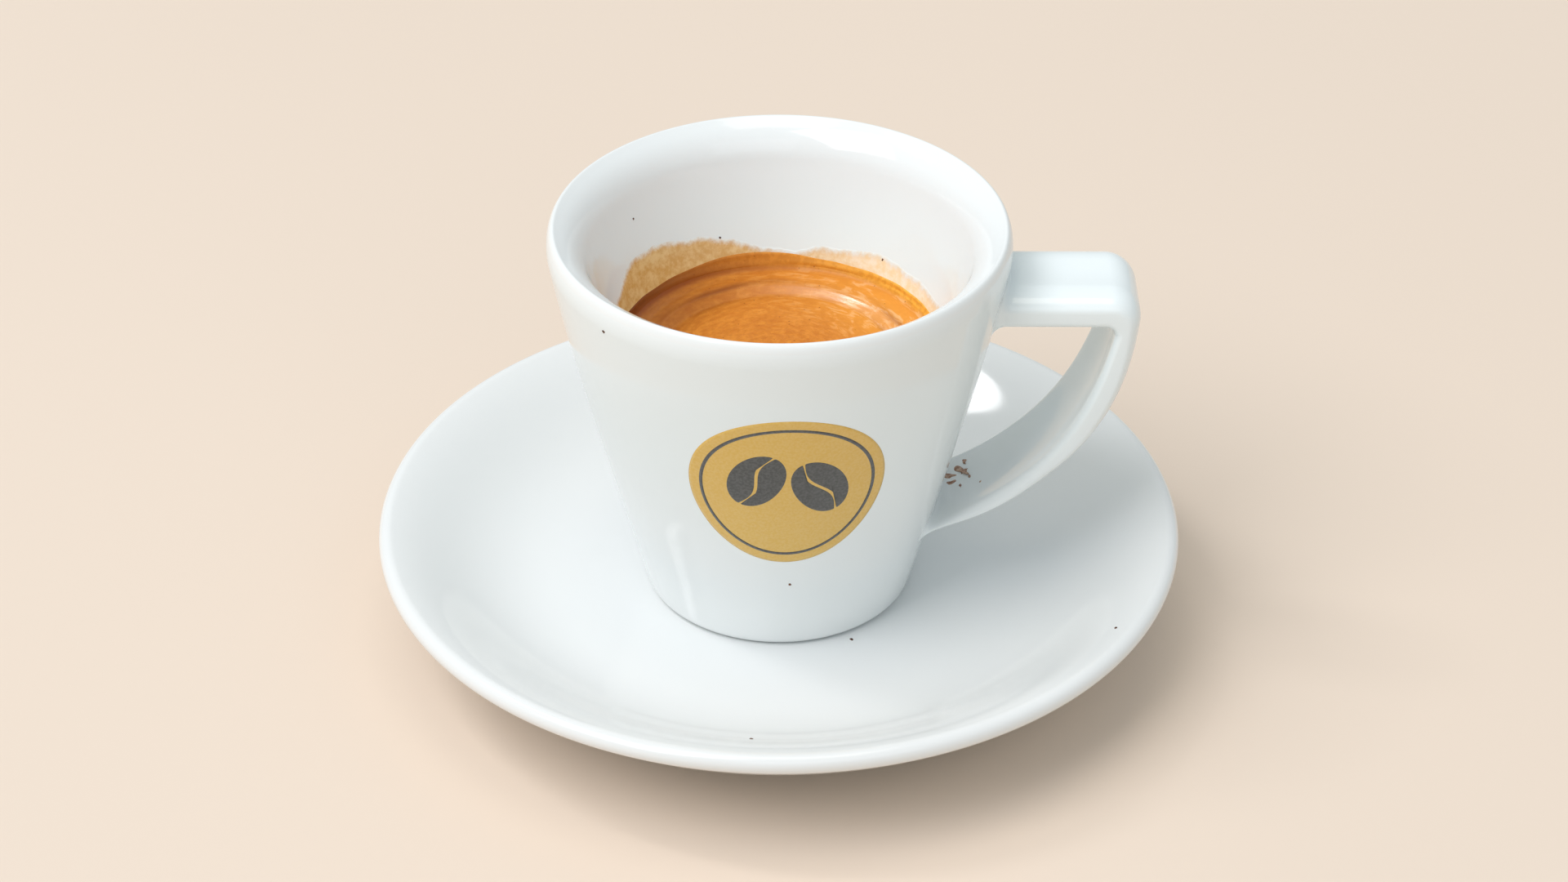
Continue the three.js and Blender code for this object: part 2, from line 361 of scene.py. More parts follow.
def ellipse_turn(slope):
    """The lip ellipse's parameter t where its normal has a slope: tan t = height / width * tan slope."""
    turn = math.radians(slope)
    return math.degrees(math.atan2(LIP_HEIGHT * math.sin(turn), LIP_WIDTH * math.cos(turn)))


def lip_arc(start, end, steps):
    """Points of the lip's ellipse between two slopes of its normal."""
    turn = arc(0, 0, 1, ellipse_turn(start), ellipse_turn(end), steps)
    return lip_centre + turn * (LIP_WIDTH, LIP_HEIGHT)


# Cup: outer wall as a cubic between the foot's slope and the lip's, and a conical bore with a round bottom.
lip_centre = np.array([RIM_R - LIP_WIDTH, CUP_TOP_Z - LIP_HEIGHT])
wall_top = lip_arc(-WALL_SLOPE_HIGH, 0, 1)[0]
foot_centre = np.array([
    FOOT_WALL_R - FOOT_CORNER_R * math.cos(math.radians(WALL_SLOPE_LOW)), WELL_Z + FOOT_CORNER_R])
wall_foot = beside(foot_centre, FOOT_CORNER_R, -WALL_SLOPE_LOW)


def wall_radius(z):
    """Hermite cubic in height, with the slopes of the foot and of the lip at its ends."""
    span, rise = wall_top[1] - wall_foot[1], wall_top[0] - wall_foot[0]
    t = (z - wall_foot[1]) / span
    leave = math.tan(math.radians(WALL_SLOPE_LOW)) * span
    arrive = math.tan(math.radians(WALL_SLOPE_HIGH)) * span
    return (wall_foot[0] + t * leave + t ** 2 * (3 * rise - 2 * leave - arrive)
            + t ** 3 * (leave + arrive - 2 * rise))


def bore_radius(z):
    """Radius of the conical bore at a height."""
    return BORE_R - (CUP_TOP_Z - z) * math.tan(math.radians(BORE_SLOPE))


def bevel_centre():
    """Centre of the round between the lip's bevel and the bore: as far from both as the round is wide."""
    start = beside(lip_arc(90, 90 + BEVEL_SLOPE, 1)[-1], -BEVEL_ROUND, 90 + BEVEL_SLOPE)
    clear = (start[0] - bore_radius(start[1])) * math.cos(math.radians(BORE_SLOPE)) - BEVEL_ROUND
    return beside(start, clear / math.cos(math.radians(BORE_SLOPE + BEVEL_SLOPE)), 180 + BEVEL_SLOPE)


def bore_bottom(grow, steps):
    """The bore's round bottom, from the axis out to the bend, moved into the china by grow."""
    bend = np.array([bore_radius(BORE_BEND_Z) + grow, BORE_BEND_Z])
    start = (AXIS_R, BORE_FLOOR_Z - grow)
    lead = (BORE_BEND + grow, BORE_FLOOR_Z - grow)
    return bezier([start, lead, beside(bend, BORE_BEND, -90 - BORE_SLOPE), bend], steps)


def cup_body():
    """The cup without its handle, turned from one closed profile."""
    wall_z = np.linspace(wall_foot[1], wall_top[1], 90)[1:-1]
    ring_in = foot_centre[0] - FOOT_RING_WIDTH
    recess_r, recess_z = ring_in - FOOT_RECESS, WELL_Z + FOOT_RECESS
    bevel = arc(*bevel_centre(), BEVEL_ROUND, 90 + BEVEL_SLOPE, 180 - BORE_SLOPE, 10)
    bore_z = np.linspace(bevel[-1][1], BORE_BEND_Z, 60)[1:-1]
    profile = np.concatenate([
        line((AXIS_R, recess_z), (recess_r, recess_z), 6),
        line((recess_r, recess_z), (ring_in, WELL_Z), 4),
        line((ring_in, WELL_Z), (foot_centre[0], WELL_Z), 4),
        arc(*foot_centre, FOOT_CORNER_R, -90, -WALL_SLOPE_LOW, 10),
        np.stack([wall_radius(wall_z), wall_z], -1),
        lip_arc(-WALL_SLOPE_HIGH, 90 + BEVEL_SLOPE, 28)[:-1],
        line(lip_arc(90, 90 + BEVEL_SLOPE, 1)[-1], bevel[0], 8),
        bevel,
        np.stack([bore_radius(bore_z), bore_z], -1),
        bore_bottom(0, 24)[::-1],
    ])
    return closed_skin(turned(profile, TURNS))


def strap_line(z, corner_x, corner_r, root, sweep):
    """One edge line of the strap in the XZ plane: straight arm, corner, sweep back, and into the wall."""
    in_wall = np.linspace(0, ARM_FILLET[0], 4)[:-1]
    by_fillet = np.linspace(*ARM_FILLET, 26)[:-1]
    along = np.concatenate([in_wall, by_fillet, np.linspace(ARM_FILLET[1], ARM_LENGTH, 8)])
    straight = np.stack([ARM_START_X + along, np.full_like(along, z)], -1)
    turn = arc(corner_x - corner_r, z - corner_r, corner_r, 90, 0, 14)
    start = turn[-1]
    lead = beside(start, sweep["lead"], -90 - sweep["lead_turn"])
    tail = beside(root, sweep["tail"], sweep["tail_turn"])
    run = bezier([start, lead, tail, root], 60)[1:]
    inward = 180 + sweep["tail_turn"]
    into = np.array([beside(root, step, inward) for step in np.linspace(0.15, ROOT_DEPTH, 24)])
    return np.concatenate([straight, turn, run, into]), len(straight)


def strap_section(thickness, channel, dish):
    """Each station's section: quarter circles inside, quarter ellipses outside, and a hollow on either face.

    A hollow is its depth times (1 - share^2)^1.3, with share from -1 to 1 across the face.
    """
    drop = np.minimum(SHOULDER_DROP, thickness - STRAP_EDGE_R - SIDE_FLAT)[:, None]
    quarter = np.radians(np.linspace(0, 90, ROUND_POINTS))
    share = np.linspace(-1, 1, FACE_POINTS)
    hollow = (1 - share ** 2) ** 1.3
    none = np.zeros_like(thickness)[:, None]
    parts = [(share * CHANNEL_HALF_WIDTH + none, channel[:, None] * hollow, 0 * share, 0 * share - 1)]
    for side, turn, high in ((1, -90, 0), (1, 0, 1), (None, 0, 0), (-1, 90, 1), (-1, 180, 0)):
        if side is None:
            level = thickness[:, None] - dish[:, None] * hollow
            parts.append((-share * DISH_HALF_WIDTH + none, level, 0 * share, 0 * share + 1))
            continue
        out_y, out_up = np.cos(quarter + math.radians(turn)), np.sin(quarter + math.radians(turn))
        width = SHOULDER_WIDTH if high else STRAP_EDGE_R
        height = drop if high else none + STRAP_EDGE_R
        base = thickness[:, None] - drop if high else height
        middle = side * (STRAP_WIDTH / 2 - width)
        parts.append((middle + width * out_y + none, base + height * out_up, out_y, out_up))
    across, up = (np.concatenate([part[k] for part in parts], 1) for k in (0, 1))
    out = np.stack([np.concatenate([part[k] for part in parts]) for k in (2, 3)])
    return across, up, out


def strap():
    """The strap handle: sections carried between its two edge lines, with fillets at the wall."""
    outer, straight = strap_line(ARM_TOP_Z, STRAP_OUT_X, OUTER_CORNER_R, OUTER_ROOT, OUTER_SWEEP)
    inner, _ = strap_line(ARM_UNDER_Z, STRAP_IN_X, INNER_CORNER_R, INNER_ROOT, INNER_SWEEP)
    thickness = np.linalg.norm(outer - inner, axis=1)
    up = (outer - inner) / thickness[:, None]
    clear = inner[:, 0] - wall_radius(inner[:, 1])
    past_arm = np.arange(len(outer)) - straight
    channel = CHANNEL_DEPTH * smooth_step(past_arm, *CHANNEL_STATIONS) * smooth_step(clear, *CHANNEL_CLEAR)
    dish = DISH_DEPTH * smooth_step(clear, *DISH_CLEAR) * (1 - smooth_step(past_arm, *DISH_STATIONS))
    across, level, out = strap_section(thickness, channel, dish)
    x = inner[:, :1] + up[:, :1] * level
    z = inner[:, 1:] + up[:, 1:] * level
    place = np.stack([x, across, z], -1)
    away = np.stack([up[:, :1] * out[1], out[0] + 0 * x, up[:, 1:] * out[1]], -1)
    return closed_skin(flared(place, away))


def flared(place, away):
    """Near the wall a point moves out along it by F - sqrt(F^2 - (F - gap)^2), a quarter-round fillet."""
    radius = np.hypot(place[..., 0], place[..., 1])
    lean = math.radians(WALL_SLOPE_LOW)
    gap = np.clip((radius - wall_radius(place[..., 2])) * math.cos(lean), 0, ROOT_FILLET)
    wall_out = np.stack([
        place[..., 0] / radius * math.cos(lean), place[..., 1] / radius * math.cos(lean),
        np.full_like(radius, -math.sin(lean))], -1)
    along = away - (away * wall_out).sum(-1, keepdims=True) * wall_out
    along /= np.linalg.norm(along, axis=-1, keepdims=True)
    swell = ROOT_FILLET - np.sqrt(ROOT_FILLET ** 2 - (ROOT_FILLET - gap) ** 2)
    return place + along * swell[..., None]


def saucer_body():
    """The saucer, turned from one closed profile: well, rise, sloping rim, lip, underside and foot ring."""
    lip = np.array([SAUCER_R - SAUCER_LIP_R, SAUCER_LIP_Z])
    rim_top = beside(lip, SAUCER_LIP_R, 90 + RIM_SLOPE)
    under_top = beside(lip, SAUCER_LIP_R, UNDERSIDE_SLOPE - 90)
    floor_z = WELL_Z - SAUCER_FLOOR
    foot_in, foot_out = SAUCER_FOOT_IN - FOOT_LEAN, SAUCER_FOOT_OUT - FOOT_LEAN
    under_end = np.array([SAUCER_FOOT_OUT + FOOT_ROUND, floor_z])
    rise = bezier([
        (WELL_R, WELL_Z), (WELL_R + WELL_BEND, WELL_Z),
        beside(rim_top, RIM_BEND, 180 + RIM_SLOPE), rim_top], 90)
    underside = bezier([
        under_end, beside(under_end, UNDERSIDE_BEND, 0),
        beside(under_top, UNDERSIDE_BEND, 180 + UNDERSIDE_SLOPE), under_top], 40)
    profile = np.concatenate([
        line((AXIS_R, floor_z), (foot_in, floor_z), 16),
        line((foot_in, floor_z), (SAUCER_FOOT_IN, FOOT_ROUND), 6),
        arc(SAUCER_FOOT_IN + FOOT_ROUND, FOOT_ROUND, FOOT_ROUND, 180, 270, 5),
        arc(foot_out - FOOT_ROUND, FOOT_ROUND, FOOT_ROUND, -90, 0, 5),
        line((foot_out, FOOT_ROUND + 0.2), under_end, 6),
        underside[:-1],
        arc(*lip, SAUCER_LIP_R, UNDERSIDE_SLOPE - 90, 90 + RIM_SLOPE, 22),
        rise[::-1][1:],
        line((WELL_R - 0.5, WELL_Z), (AXIS_R, WELL_Z), 24),
    ])
    return closed_skin(turned(profile, TURNS))


def waves(angle, along, seed, turns, length, count=6):
    """Sum of plane waves with whole numbers of turns about the axis, about one high at the most."""
    rng = np.random.default_rng(seed)
    total = 0 * angle
    for _ in range(count):
        whole = rng.integers(-turns, turns + 1)
        pace = rng.uniform(0.6, 1.4) / length
        total = total + np.cos(whole * angle + FULL_TURN * (pace * along + rng.random()))
    return total / math.sqrt(2 * count)


def crema_edge(angle):
    """Height at which the crema ends on the wall: a level, one swell at the back, and small waves."""
    swell = EDGE_SWELL * bell(np.degrees(angle), EDGE_SWELL_AT, EDGE_SWELL_WIDTH)
    return EDGE_Z + swell + EDGE_UNEVEN * waves(angle, 0 * angle, 3, 26, 1, 12)


def crema_body():
    """The drink's skin: its bottom in the china, the film on the wall, the slope, the step and the level."""
    angle = np.arange(CREMA_TURNS) * FULL_TURN / CREMA_TURNS
    edge = crema_edge(angle)
    film = np.linspace(0, 1, 22)[:, None]
    film_z = edge + (FILM_FOOT_Z - edge) * film
    stands = FILM_STANDS * smooth_step(film, 0, 0.2) * (1 + 0.5 * waves(angle, 2 * film, 5, 9, 1.5))
    film_r = bore_radius(film_z) + INTO_WALL - (INTO_WALL + stands) * smooth_step(film, -0.01, 0.1)
    foot = np.array([bore_radius(FILM_FOOT_Z) - FILM_STANDS, FILM_FOOT_Z])
    slope_end = np.array([STEP_OUT_R, DRINK_Z + STEP_RISE])
    slope = bezier([
        foot, beside(foot, SLOPE_BEND_HIGH, -90 - BORE_SLOPE),
        beside(slope_end, SLOPE_BEND_LOW, SLOPE_TURN), slope_end], 40)[1:]
    step = bezier([
        slope_end, beside(slope_end, STEP_BEND_OUT, 180 + STEP_TURN),
        (STEP_IN_R + STEP_BEND_IN, DRINK_Z), (STEP_IN_R, DRINK_Z)], 22)[1:]
    level = line((STEP_IN_R - 0.2, DRINK_Z), (AXIS_R, DRINK_Z), 84)
    inner = np.concatenate([slope, step, level])
    side_low, side_high = ((bore_radius(z) + INTO_WALL, z) for z in (BORE_BEND_Z, EDGE_Z - 1))
    below = np.concatenate([bore_bottom(INTO_WALL, 10)[:-1], line(side_low, side_high, 12)])
    whole = np.ones(CREMA_TURNS)
    r = np.concatenate([below[:, :1] * whole, film_r, inner[:, :1] * whole])
    z = np.concatenate([below[:, 1:] * whole, film_z, inner[:, 1:] * whole])
    path = np.concatenate([[0], np.cumsum(np.hypot(np.diff(r.mean(1)), np.diff(z.mean(1))))])
    along = (path - path[len(below)])[:, None]
    lively = smooth_step(along, 0.3, 1.2) * smooth_step(r, 1, 5)
    turn = angle[None, :] + 0 * r
    z = z + RIPPLE * lively * waves(turn, along + 0 * r, 7, 3, 1.6, 8)
    rings = np.stack([r * np.cos(angle), r * np.sin(angle), z], -1)
    vertices, faces = closed_skin(rings)
    masks = crema_masks(turn, along + 0 * r, r)
    return vertices, faces, {name: np.append(mask.ravel(), [0, 0]) for name, mask in masks.items()}


def crema_masks(turn, along, r):
    """Where the crema is browner or wetter, and where light and shade are painted on it, as bell curves of
    angle, way down and radius.
    """
    near = {name: bell(np.degrees(turn), *place) for name, place in CREMA_PLACES.items()}
    # The crease mark is partly painted shade: it is darkest on the side away from the handle.
    crease_at = CREASE_WAY + 0.15 * waves(turn, 0 * turn, 11, 6, 1)
    crease = np.exp(-((along - crease_at) / CREASE_WIDTH) ** 2) * (0.12 + 0.88 * near["crease"])
    step_at = STEP_OUT_R + 0.7 + 0.3 * waves(turn, 0 * turn, 13, 9, 1)
    patchy = np.clip(0.75 + 0.5 * waves(turn, along, 17, 14, 3, 10), 0, 1) * (along > 1)
    sides = near["step at the back"] + 0.9 * near["step by the handle"]
    step = np.exp(-((r - step_at) / 0.6) ** 2) * (0.1 + 0.9 * sides) * patchy
    foot = np.exp(-((r - STEP_IN_R + 0.2) / 0.5) ** 2) * sides * patchy
    film = 1 - smooth_step(along, 1.3, 2.3)
    past_foot = smooth_step(r, STEP_IN_R - 0.3, STEP_IN_R + 0.3)
    on_step = past_foot * (1 - smooth_step(r, STEP_OUT_R, STEP_OUT_R + 0.7))
    sheen = near["sheen"] * np.exp(-((r - SHEEN_R) / SHEEN_WIDTH) ** 2)
    wet = np.clip(on_step * (0.15 + 0.85 * near["wet step"]) + 0.4 * sheen, 0, 1) + 0.08 * (r > STEP_OUT_R)
    # The last three masks place painted light towards the handle, and painted shade on the film and on the
    # slope away from it.
    return {
        "crease": crease, "step": np.clip(step + 0.5 * foot, 0, 1), "film": film, "wet": wet,
        "lit": near["lit"] * smooth_step(r, 8, 19), "painted_shade": near["painted_shade"],
        "painted_slope_shade": near["painted_slope_shade"] * smooth_step(r, 13, 19)}


def stain_body():
    """Dried film on the bore: a closed skin just proud of the wall, up to an uneven edge."""
    angle = np.arange(CREMA_TURNS) * FULL_TURN / CREMA_TURNS
    at, height = np.array(STAIN_EDGE).T
    smooth = np.interp(np.degrees(angle), at, height, period=360)
    kernel = np.hanning(15) / np.hanning(15).sum()
    smooth = np.convolve(np.concatenate([smooth[-7:], smooth, smooth[:7]]), kernel, "valid")
    uneven = STAIN_UNEVEN * waves(angle, 0 * angle, 21, 30, 1, 14)
    edge = smooth + uneven + STAIN_FRAYED * waves(angle, 0 * angle, 23, 90, 1, 14)
    share = np.linspace(0, 1, 36)[:, None]
    z = STAIN_LOW_Z + (edge - STAIN_LOW_Z) * share
    r = bore_radius(z) - STAIN_STANDS * (1.4 * smooth_step(1 - share, 0, 0.12) - 0.4)
    behind = bore_radius(z[::-1]) + STAIN_INTO_WALL
    rings_r = np.concatenate([r, behind])
    rings_z = np.concatenate([z, z[::-1]])
    rings = np.stack([rings_r * np.cos(angle), rings_r * np.sin(angle), rings_z], -1)
    below_edge = np.concatenate([edge - z, edge - z[::-1]])
    # Painted light: the film is paler round the side towards the handle.
    lit = bell(np.degrees(angle), *STAIN_PAINTED_LIGHT) + 0 * rings_z
    return *closed_band(rings), {"below_edge": below_edge.ravel(), "lit": lit.ravel()}


def ground_grain(place, normal, size, seed):
    """An uneven grain: a ball of radius size (1 + waves), pressed to under half its height on the china."""
    rise, turn = np.meshgrid(np.linspace(0.2, np.pi - 0.2, 9), np.arange(14) * FULL_TURN / 14, indexing="ij")
    radius = size * (1 + 0.35 * waves(turn, rise, seed, 3, 2))
    out = np.stack([np.sin(rise) * np.cos(turn), np.sin(rise) * np.sin(turn), -np.cos(rise)], -1)
    ball = radius[..., None] * out
    normal = np.array(normal) / np.linalg.norm(normal)
    ball -= 0.6 * (ball @ normal)[..., None] * normal
    return closed_skin(ball + np.array(place))


def grounds_on(piece, grounds):
    """A grain at the point of the piece's surface nearest to each (angle, radius, height)."""
    bpy.context.view_layer.update()
    skins = []
    for seed, (angle, radius, height, size) in enumerate(grounds, GROUNDS_SEED):
        turn = math.radians(angle)
        near = Vector((radius * math.cos(turn), radius * math.sin(turn), height)) * MM
        _, place, normal, _ = piece.closest_point_on_mesh(near)
        skins.append(ground_grain(np.array(place) / MM, normal, size, seed))
    return skins


def splash_blot(place, normal, length, width, lean, seed):
    """A flat uneven blot: an ellipse times (1 + waves), domed by stands sqrt(1 - share^2)."""
    angle = np.arange(24) * FULL_TURN / 24
    share = np.concatenate([np.linspace(0.04, 1, 7), [1, 0.5]])[:, None]
    reach = share * (1 + 0.6 * waves(angle, 0 * angle, seed, 5, 1, 8))
    lift = np.append(SPLASH_STANDS * np.sqrt(1 - share[:7, 0] ** 2), [-0.1, -0.1])[:, None]
    normal = np.array(normal) / np.linalg.norm(normal)
    level = np.cross(normal, (0, 1, 0))
    turn = math.radians(lean)
    along = math.cos(turn) * np.array((0, 1, 0)) + math.sin(turn) * level
    across = np.cross(normal, along)
    oval = length * np.cos(angle)[:, None] * along + width * np.sin(angle)[:, None] * across
    flat = reach[..., None] * oval
    return closed_skin((flat + lift[..., None] * normal + np.array(place))[::-1])


def splashes_on(piece):
    """A blot at the point of the piece's surface nearest to each splash."""
    skins = []
    for seed, (x, y, height, length, width, lean) in enumerate(SPLASHES, SPLASH_SEED):
        _, place, normal, _ = piece.closest_point_on_mesh(Vector((x, y, height)) * MM)
        skins.append(splash_blot(np.array(place) / MM, normal, length, width, lean, seed))
    return skins


def on_front(across, up, stands):
    """A point of the badge's plane carried round the cup: across as arc length, up as height."""
    z = BADGE_Z + up
    r = wall_radius(z) + stands
    angle = math.radians(BADGE_ANGLE) + across / wall_radius(BADGE_Z)
    return np.stack([r * np.cos(angle), r * np.sin(angle), z], -1)


def print_skin(outline, stands, rows=16):
    """A print inside a closed outline (n, 2): rings shrunk to its middle, and a back within the china."""
    middle = outline.mean(0)
    front, back = np.linspace(0.02, 0.97, rows), np.linspace(0.97, 0.02, 4)
    share = np.concatenate([front, [1, 1], back])[:, None, None]
    flat = middle + (outline - middle) * share
    height = np.concatenate([np.full(rows, stands), [stands * 0.8], np.full(5, -PRINT_INTO_WALL)])[:, None]
    return closed_skin(on_front(flat[..., 0], flat[..., 1], height + 0 * flat[..., 0])[::-1])


def ring_skin(outer, inner, stands):
    """A printed ring as a closed band: its four edges, each a circle, joined round."""
    angle = np.arange(BADGE_TURNS) * FULL_TURN / BADGE_TURNS
    edges = [(inner, -PRINT_INTO_WALL), (inner, stands), (outer, stands), (outer, -PRINT_INTO_WALL)]
    return closed_band(np.stack([
        on_front(r * np.cos(angle), r * np.sin(angle), lift) for r, lift in edges]))


def bean_halves(across, up, tilt):
    """Outlines of a coffee bean's two halves: an ellipse parted by an S-shaped crease."""
    t = np.linspace(-1, 1, 25)
    crease = np.stack([BEAN_LONG * t, BEAN_BEND * BEAN_WIDE * np.sin(np.pi * t)], -1)
    half_turn = np.linspace(0, np.pi, 40)[1:-1]
    turn = math.radians(tilt)
    spin = np.array([[math.cos(turn), -math.sin(turn)], [math.sin(turn), math.cos(turn)]])
    halves = []
    for side in (1, -1):
        gap = side * BEAN_CREASE / 2 * (1 - 0.3 * t ** 2)
        edge = np.stack([crease[:, 0] * 0.985, crease[:, 1] + gap], -1)
        bow = np.stack([BEAN_LONG * np.cos(half_turn), side * (BEAN_WIDE * np.sin(half_turn) + 0.05)], -1)
        outline = np.concatenate([edge, bow])[::side]
        halves.append(outline @ spin.T + np.array([across, up]))
    return halves


def joined(skins):
    """Several skins as one list of vertices and one of faces."""
    vertices, faces = [], []
    shift = 0
    for points, sides in skins:
        vertices.append(points)
        faces += [tuple(index + shift for index in side) for side in sides]
        shift += len(points)
    return np.concatenate(vertices), faces


def linear(hex_colour):
    """An sRGB hex colour as linear RGBA."""
    parts = np.array([int(hex_colour[i:i + 2], 16) for i in (1, 3, 5)]) / 255
    low = parts / 12.92
    high = ((parts + 0.055) / 1.055) ** 2.4
    return (*np.where(parts <= 0.04045, low, high), 1.0)


def new_material(name):
    """An empty material with its shader and output."""
    material = bpy.data.materials.new(name)
    material.use_nodes = True
    tree = material.node_tree
    tree.nodes.clear()
    shader = add_node(tree, "BsdfPrincipled")
    add_node(tree, "OutputMaterial", {"Surface": shader.outputs[0]})
    return material, tree, shader


def add_node(tree, kind, inputs=None, stops=None, **settings):
    """One node: its settings, its colour stops, and its inputs, each a value or another node's output."""
    node = tree.nodes.new("ShaderNode" + kind)
    for name, value in settings.items():
        setattr(node, name, value)
    for number, (place, colour) in enumerate(stops or ()):
        if number >= len(node.color_ramp.elements):
            node.color_ramp.elements.new(place)
        node.color_ramp.elements[number].position = place
        node.color_ramp.elements[number].color = colour
    for key, value in (inputs or {}).items():
        if isinstance(value, bpy.types.NodeSocket):
            tree.links.new(value, node.inputs[key])
        else:
            node.inputs[key].default_value = value
    return node


def glazed_porcelain(name, colour, bounce_offset_colour=None):
    """Cast porcelain under a clear glaze: white, with sharp reflections, and a painted cool tint by attribute
    against warm bounced light.
    """
    material, tree, shader = new_material(name)
    # The glaze settles in waves about 7 mm long, which bend the reflections slightly.
    bump = add_node(tree, "Bump", {"Height": noise(tree, 7, 1.0), "Strength": 0.25, "Distance": 0.02 * MM})
    # The body's white drifts a hundredth of the way to full white and back over a few centimetres.
    tone = add_node(tree, "ValToRGB", {"Fac": noise(tree, 25, 2.0)},
                    [(0.3, linear(colour)), (0.7, linear(lighter(colour, 0.01)))]).outputs["Color"]
    # Low in the cup and high on its wall a painted cool tint offsets the warm light bounced there, so that
    # the glaze renders white.
    if bounce_offset_colour:
        tone = mixed(tree, attribute(tree, "cool"), tone, linear(bounce_offset_colour))
    tree.links.new(tone, shader.inputs["Base Color"])
    tree.links.new(bump.outputs["Normal"], shader.inputs["Normal"])
    shader.inputs["Roughness"].default_value = 0.08
    shader.inputs["IOR"].default_value = 1.5
    return material


def lighter(hex_colour, share):
    """A hex colour moved towards white by a share of the way."""
    parts = [int(hex_colour[i:i + 2], 16) for i in (1, 3, 5)]
    return "#" + "".join(f"{round(part + (255 - part) * share):02x}" for part in parts)


def attribute(tree, name):
    """A vertex number of the mesh, read by name."""
    return add_node(tree, "Attribute", attribute_name=name).outputs["Fac"]


def noise(tree, spot, detail, roughness=0.5):
    """Noise in the piece's own space, with spots of this many millimetres."""
    place = add_node(tree, "TexCoord").outputs["Object"]
    return add_node(tree, "TexNoise", {
        "Vector": place, "Scale": 1 / (spot * MM), "Detail": detail, "Roughness": roughness}).outputs["Fac"]


def mixed(tree, share, first, second):
    """One colour moved towards another by a share from nought to one."""
    node = add_node(tree, "Mix", data_type="RGBA")
    for socket, value in ((node.inputs[0], share), (node.inputs[6], first), (node.inputs[7], second)):
        if isinstance(value, bpy.types.NodeSocket):
            tree.links.new(value, socket)
        else:
            socket.default_value = value
    return node.outputs[2]


def ramp(tree, value, low, high):
    """Nought at low, one at high, smooth between; low may be the larger."""
    flip = low > high
    node = add_node(tree, "MapRange", {
        "Value": value, "From Min": min(low, high), "From Max": max(low, high),
        "To Min": float(flip), "To Max": float(not flip)}, interpolation_type="SMOOTHSTEP")
    return node.outputs["Result"]


def times(tree, first, second):
    """The product of two numbers."""
    return add_node(tree, "Math", {0: first, 1: second}, operation="MULTIPLY").outputs[0]


def polar_place(tree, around, outward):
    """Object coordinates as (cosine, sine, radius): spots this many mm long around and wide outward."""
    place = add_node(tree, "TexCoord").outputs["Object"]
    flat = add_node(tree, "VectorMath", {0: place, 1: (1.0, 1.0, 0.0)}, operation="MULTIPLY").outputs[0]
    radius = add_node(tree, "VectorMath", {0: flat}, operation="LENGTH").outputs["Value"]
    ring = add_node(tree, "VectorMath", {0: flat}, operation="NORMALIZE").outputs[0]
    ring = add_node(tree, "VectorMath", {0: ring, "Scale": SWIRL_R / around}, operation="SCALE").outputs[0]
    rise = add_node(tree, "CombineXYZ", {"Z": times(tree, radius, 1 / (outward * MM))}).outputs[0]
    return add_node(tree, "VectorMath", {0: ring, 1: rise}, operation="ADD").outputs[0]


